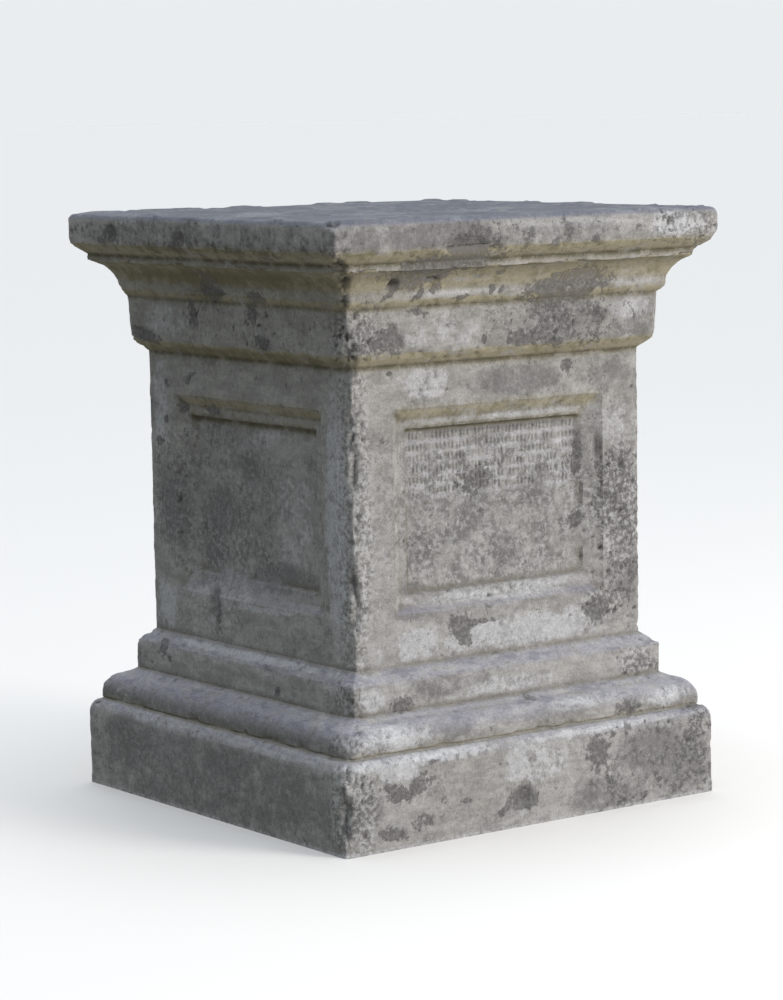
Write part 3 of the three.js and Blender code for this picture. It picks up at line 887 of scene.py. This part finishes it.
cut = cut * (bench.noise(rest + (0.8, 0.3, 0.5), 45.0, 2.0).smooth(0.34, 0.56) * 0.7 + 0.3)
depth = quick * given["Quick height"] * (rough_zone * 1.5 + 2.0) - pits * given["Pit depth"]
depth = depth - wear * chewed * given["Arris wear"] - cut * given["Stroke depth"]
depth = depth + is_top * crusted * given["Crust height"]
corner_reach = bench.noise(rest + (0.2, 0.6, 0.4), 26.0, 3.0).smooth(0.30, 0.66) * 0.7 + 0.3
corner_reach = corner_reach * given["Near corner reach"] * (1.0 - level_z.smooth(0.700, 0.715) * 0.6)
core_gap = corner_gap.math("MAXIMUM", given["Near corner core"])
corner_share = (1.0 - core_gap / corner_reach).math("MAXIMUM", 0.0)
corner_fall = corner_share * corner_share * corner_reach * given["Near corner bite"] * is_near
rounded = bench.vector(X=corner_fall * diagonal, Y=corner_fall * diagonal)
free = level_z.smooth(0.0005, 0.006)
offset = (slow * given["Slow height"] * 2.0 + away * depth + rounded) * free
stone = keep(bench, stone, "pit", pits + cut * 0.42)
stone = bench.node("GeometryNodeSetPosition", {}, {"Geometry": stone, "Offset": offset})
print("worn and pitted with", len(bench.tree.nodes), "nodes")

# %% The stone's mesh
def blurred(value, rounds):
    values = {"Value": value, "Iterations": rounds}
    return bench.node("GeometryNodeBlurAttribute", {"data_type": "FLOAT"}, values)


under = (-away.part("Z")).smooth(0.12, 0.50) * level_z.smooth(0.01, 0.03)
stone = keep(bench, stone, "moss", blurred(under, 2))
stone = keep(bench, stone, "ledge", blurred(away.part("Z").smooth(0.15, 0.6), 1))
stone = keep(bench, stone, "crease", blurred(kept(bench, "crease"), 2))
stone = keep(bench, stone, "ridge", blurred(kept(bench, "ridge"), 1))
stone = bench.node("GeometryNodeSetShadeSmooth", {}, {"Geometry": stone, "Shade Smooth": True})
stone_mesh = run_tree(bench, stone, weather_inputs, plain_mesh, weathered_stone)
triangles = sum(len(p.vertices) - 2 for p in stone_mesh.polygons)
print("weathered stone", len(stone_mesh.vertices), "points", triangles, "triangles")

# %% [markdown]
# The finish starts from a pale, slightly warm stone. Over it come washed patches and painted
# highlights, grey blooms and painted shade, ochre algae under every moulding, a cool tint on every
# ledge and on the top that is painted sky light and shade over grime, painted shade in the creases,
# along the panel's frame, in pits and in bruises, painted highlights on the arrises, frost specks,
# and on top the dark lichen. One colour would look painted, so each layer has its own mask: a kept
# attribute for where it lies and noise in object space for its ragged shape.

# %% The finish
bench = Bench(weathered_stone.node_tree)
surface = weathered_stone.node_tree.nodes["Principled BSDF"]
spot = bench.node("ShaderNodeTexCoord", {}, {}, "Object")
blend = bench.mix


def on_mesh(name):
    return bench.node("ShaderNodeAttribute", {"attribute_name": name}, {}, "Fac")


def tone(red, green, blue):
    return (red, green, blue, 1.0)


pale_stone, mid_stone = tone(0.425, 0.405, 0.380), tone(0.325, 0.307, 0.286)
pale_wash_and_highlight, white_fleck_and_highlight = tone(0.56, 0.55, 0.555), tone(0.64, 0.63, 0.62)
lichen_dark, lichen_and_shade_grey = tone(0.118, 0.111, 0.107), tone(0.190, 0.180, 0.175)
ochre_algae, olive_algae_and_shade = tone(0.390, 0.342, 0.232), tone(0.150, 0.136, 0.066)
ledge_sky_tint_and_grime, ledge_streak_and_sky_tint = tone(0.335, 0.322, 0.352), tone(0.200, 0.192, 0.222)
crust_brown, top_sky_shade_and_grime = tone(0.190, 0.168, 0.135), tone(0.130, 0.135, 0.160)
crease_shade_and_dirt, pit_shade = tone(0.195, 0.175, 0.130), tone(0.085, 0.080, 0.075)
crease_shade_and_moss, top_patch = tone(0.095, 0.084, 0.048), tone(0.276, 0.273, 0.284)

streaks = spot * (1.0, 1.0, 3.2)
cloud = bench.noise(spot, 13.0, 5.0, 0.6)
streak = bench.noise(streaks, 24.0, 6.0, 0.65)
grain = bench.noise(spot, 380.0, 3.0, 0.7)
fleck = bench.noise(spot + (0.2, 0.5, 0.1), 130.0, 5.0, 0.7)
salt = bench.noise(spot + (0.6, 0.4, 0.8), 165.0, 3.0, 0.60)
wide = bench.noise(spot + (0.7, 0.1, 0.4), 38.0, 4.0, 0.65) - 0.5
fine = bench.noise(spot + (0.3, 0.9, 0.2), 120.0, 5.0, 0.72) - 0.5

# %% Bare stone, with painted highlights and painted shade
coats = []
# Pale marks: washed stone, and on the rounds of the base and the left face's near stile painted highlights;
# the brightest are near white.
washed = (on_mesh("washed") + wide * 1.4 + fine * 1.4).smooth(-0.05, 0.35)
coats.append((washed * 0.75, pale_wash_and_highlight))
brightest_wash_and_highlight = (on_mesh("washed") + fine * 0.8).smooth(0.50, 0.95)
coats.append((brightest_wash_and_highlight * 0.85, white_fleck_and_highlight))
mottle = bench.noise(spot + (0.9, 0.3, 0.6), 60.0, 8.0, 0.80)
busy = bench.noise(spot + (0.1, 0.6, 0.7), 10.0, 3.0, 0.6).smooth(0.40, 0.62)
coats.append((mottle.smooth(0.50, 0.60) * (busy * 0.40 + 0.25), lichen_and_shade_grey))
# Soft grey marks: lichen blooms, and on the left face and under the field's top ledge painted shade.
shade = (on_mesh("shade") + wide * 1.4 + fine * 1.2).smooth(-0.20, 0.50)
coats.append((shade * 0.85, lichen_and_shade_grey))
rough_zone = (on_mesh("pitted") + wide * 0.8).smooth(-0.15, 0.25)
coats.append((rough_zone * salt.smooth(0.48, 0.60) * 0.40, white_fleck_and_highlight))
coats.append((rough_zone * (1.0 - salt).smooth(0.50, 0.60) * 0.42, lichen_dark))
print("coats of bare stone", len(coats))

# %% Algae, painted sky light, painted shade, grime and dirt
moss = (on_mesh("moss") + wide * 0.6 + fine * 0.5).smooth(0.0, 0.95) * (1.0 - brightest_wash_and_highlight * 0.5)
moss_noise = bench.noise(streaks + (0.2, 0.2, 0.8), 26.0, 5.0, 0.6)
coats.append((moss * moss_noise.smooth(0.26, 0.52) * 0.92, ochre_algae))
coats.append((moss * mottle.smooth(0.48, 0.64) * 0.50, olive_algae_and_shade))
# Where those marks lie on the undersides the algae turns dark olive, on the left face as painted shade.
coats.append((moss * shade * 0.70, olive_algae_and_shade))
# Every upward face gets a cool lilac grey with darker streaks: painted sky light over some real grime.
ledge = on_mesh("ledge") * (1.0 - washed * 0.75)
ledge_noise = bench.noise(streaks + (0.5, 0.8, 0.8), 34.0, 5.0, 0.6)
coats.append((ledge * ledge_noise.smooth(0.30, 0.52) * 0.72, ledge_sky_tint_and_grime))
coats.append((ledge * ledge_noise.smooth(0.52, 0.62) * 0.60, ledge_streak_and_sky_tint))
# The slab's top is painted a dark bluish grey: painted shade and sky reflection over real grime, broken by
# paler patches and lichen flecks.
top_starts, top_full = slab_top - 0.009, slab_top - 0.005
on_top = spot.part("Z").smooth(top_starts, top_full) * ledge
coats.append((on_top * 0.92, top_sky_shade_and_grime))
coats.append((on_top * (cloud * 0.5 + mottle * 0.5).smooth(0.47, 0.60) * 0.75, top_patch))
coats.append((on_top * fleck.smooth(0.52, 0.63) * 0.6, lichen_dark))
# Concave edges are painted darker: painted shade in the creases, with some dirt. In the creases of the
# undersides higher up they darken further to a moss green: painted shade with some moss.
crease = on_mesh("crease").smooth(0.02, 0.22)
coats.append((crease * (moss_noise.smooth(0.25, 0.55) * 0.5 + 0.15), crease_shade_and_dirt))
mossy_crease_shade = crease * on_mesh("moss").smooth(0.05, 0.45) * spot.part("Z").smooth(0.20, 0.50)
coats.append((mossy_crease_shade * (mottle + wide * 0.6).smooth(0.34, 0.56) * 0.85, crease_shade_and_moss))
# Dark lines along the panel's outer edge, the foot of its bevel and the edge of its field, where the frame
# isn't worn away, are painted shade with some dirt.
inset, frame_lines = on_mesh("inset"), 0.0
kept_frame = 1.0 - (on_mesh("worn") + wide).smooth(-0.15, 0.30)
field_edge = bevel_width + ledge_width + step_run
for line_at, line_half in ((0.001, 0.0028), (bevel_width, 0.0026), (field_edge, 0.0040)):
    far_off = ((inset - line_at).math("ABSOLUTE") / line_half).smooth(0.1, 1.0)
    frame_lines = frame_lines + (1.0 - far_off)
frame_lines = frame_lines * kept_frame
coats.append((frame_lines * (mottle + wide * 0.5).smooth(0.38, 0.62) * 0.38, crease_shade_and_dirt))
print("coats with algae and dirt", len(coats))

# %% Lichen, painted highlights on the arrises and painted shade in bruises and pits
lichen = (on_mesh("crust") + wide * 1.6 + fine * 3.2).smooth(-0.12, 0.34)
loose_spots = bench.noise(spot + (0.8, 0.6, 0.3), 70.0, 6.0, 0.75).smooth(0.635, 0.655)
lichen = lichen.math("MAXIMUM", loose_spots * 0.7)
speckle = bench.noise(spot + (0.4, 0.1, 0.9), 190.0, 5.0, 0.72)
inner = blend(speckle.smooth(0.42, 0.58), blend(moss, lichen_dark, crust_brown), lichen_and_shade_grey)
inner = blend((speckle * 0.5 + mottle * 0.5).smooth(0.51, 0.60) * 0.5, inner, mid_stone)
coats.append((lichen * 0.88, inner))
# Convex edges are lightened: painted highlights where the arrises catch the light, with some real wear.
ridge = on_mesh("ridge").smooth(0.10, 0.45)
coats.append((ridge * fleck.smooth(0.40, 0.55) * 0.5, pale_wash_and_highlight))
dent, pit, deep_dent = on_mesh("dent"), on_mesh("pit"), 0.006
# Deeper bruises are painted a darker grey: painted shade in the hollows.
coats.append(((dent / deep_dent).smooth(0.1, 0.9) * fleck.smooth(0.35, 0.55) * 0.6, lichen_and_shade_grey))
# Pits and the cut strokes are painted near black: painted shade in the holes.
coats.append((pit.smooth(0.15, 0.75) * 0.75, pit_shade))
tooth = ((grain - 0.5) * 0.9 + (fleck - 0.5) * 0.7) * (1.0 - moss * 0.6)
colour = blend((cloud * 0.4 + streak * 0.6).smooth(0.42, 0.58), mid_stone, pale_stone)
for mask, over in coats:
    colour = blend(mask, colour, over)
colour = colour * (tooth + 1.0)

rough = lichen * 0.04 + grain * 0.06 + 0.88
height = fleck * -0.5 + grain * 0.25 + cloud * 0.4 + lichen * 0.3 + speckle * lichen * 0.4 - pit * 0.5
height = height + rough_zone * salt * 0.6
bump = bench.node("ShaderNodeBump", {}, {"Strength": 0.8, "Distance": 0.002, "Height": height})
for socket, wire in (("Base Color", colour), ("Roughness", rough), ("Normal", bump)):
    weathered_stone.node_tree.links.new(wire.socket, surface.inputs[socket])
surface.inputs["Specular IOR Level"].default_value = 0.3
weathered_stone.diffuse_color = (0.33, 0.31, 0.28, 1.0)
print("finish", len(weathered_stone.node_tree.nodes), "nodes")

# %% [markdown]
# The finished mesh becomes one piece that stands for the solid and rides on the stone's only
# body. It sits at the origin, unturned, with its place in its mesh, as the solid does.

# %% The stone in the frame
stone_mesh.name = "stone"
stone_piece = placed("stone", stone_mesh)
stone_mesh.materials.clear()
stone_mesh.materials.append(weathered_stone)
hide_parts("pedestal")
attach(stone_piece, "root")

# %% [markdown]
# The stage is a plain pale floor. A large soft lamp in front and to the right lights the panel with
# the strokes and leaves the left face in shade, and a wide soft light from above lies on the
# ledges. The room around is dim at the sides, bright behind, bluish above and warm below.

# %% Floor and lights
floor_half = 150.0
floor_mesh = bpy.data.meshes.new("floor")
floor_mesh.from_pydata([(-floor_half, -floor_half, 0), (floor_half, -floor_half, 0),
                        (floor_half, floor_half, 0), (-floor_half, floor_half, 0)], [], [(0, 1, 2, 3)])
floor = placed("floor", floor_mesh)
pale_floor = bpy.data.materials.new("pale_floor")
pale_floor.use_nodes = True
floor_shader = pale_floor.node_tree.nodes["Principled BSDF"]
floor_shader.inputs["Base Color"].default_value = tone(0.86, 0.81, 0.75)
floor_shader.inputs["Roughness"].default_value = 0.9
floor_mesh.materials.append(pale_floor)
floor.visible_diffuse = False


def lamp_at(name, kind, place, power, colour):
    lamp = bpy.data.lights.new(name, kind)
    lamp.energy, lamp.color = power, colour
    holder = placed(name, lamp)
    holder.location = place
    aim = Vector((0, 0, slab_top / 2)) - Vector(place)
    holder.rotation_euler = aim.to_track_quat("-Z", "Y").to_euler()
    return lamp


key_place, key_watts, key_size, key_colour = (1.9, -3.6, 1.5), 126.0, 1.6, (1.0, 0.985, 0.985)
sky_place, sky_strength, sky_spread, sky_colour = (0, 0, 4.0), 2.0, math.radians(60), (0.84, 0.91, 1.0)
lamp_at("key", "AREA", key_place, key_watts, key_colour).size = key_size
lamp_at("sky", "SUN", sky_place, sky_strength, sky_colour).angle = sky_spread

world = bpy.data.worlds.new("studio")
bpy.context.scene.world = world
world.use_nodes = True
around = Bench(world.node_tree)
way = around.node("ShaderNodeTexCoord", {}, {}, "Generated")
overhead = way.part("Z").smooth(0.15, 0.85)
from_ground = way.dot((0.3, -0.95, 0.0)).smooth(-0.1, 0.7) * (-way.part("Z")).smooth(0.02, 0.4)
behind = way.dot((look.x, look.y, 0.0)).smooth(0.35, 0.95)
room = around.mix(overhead, tone(0.172, 0.188, 0.186), tone(0.43, 0.49, 0.56))
room = around.mix(from_ground, room, tone(0.55, 0.54, 0.52))
room = around.mix(behind, room, tone(0.823, 0.847, 0.865))
world.node_tree.links.new(room.socket, world.node_tree.nodes["Background"].inputs["Color"])
bpy.context.scene.view_settings.view_transform = "Standard"
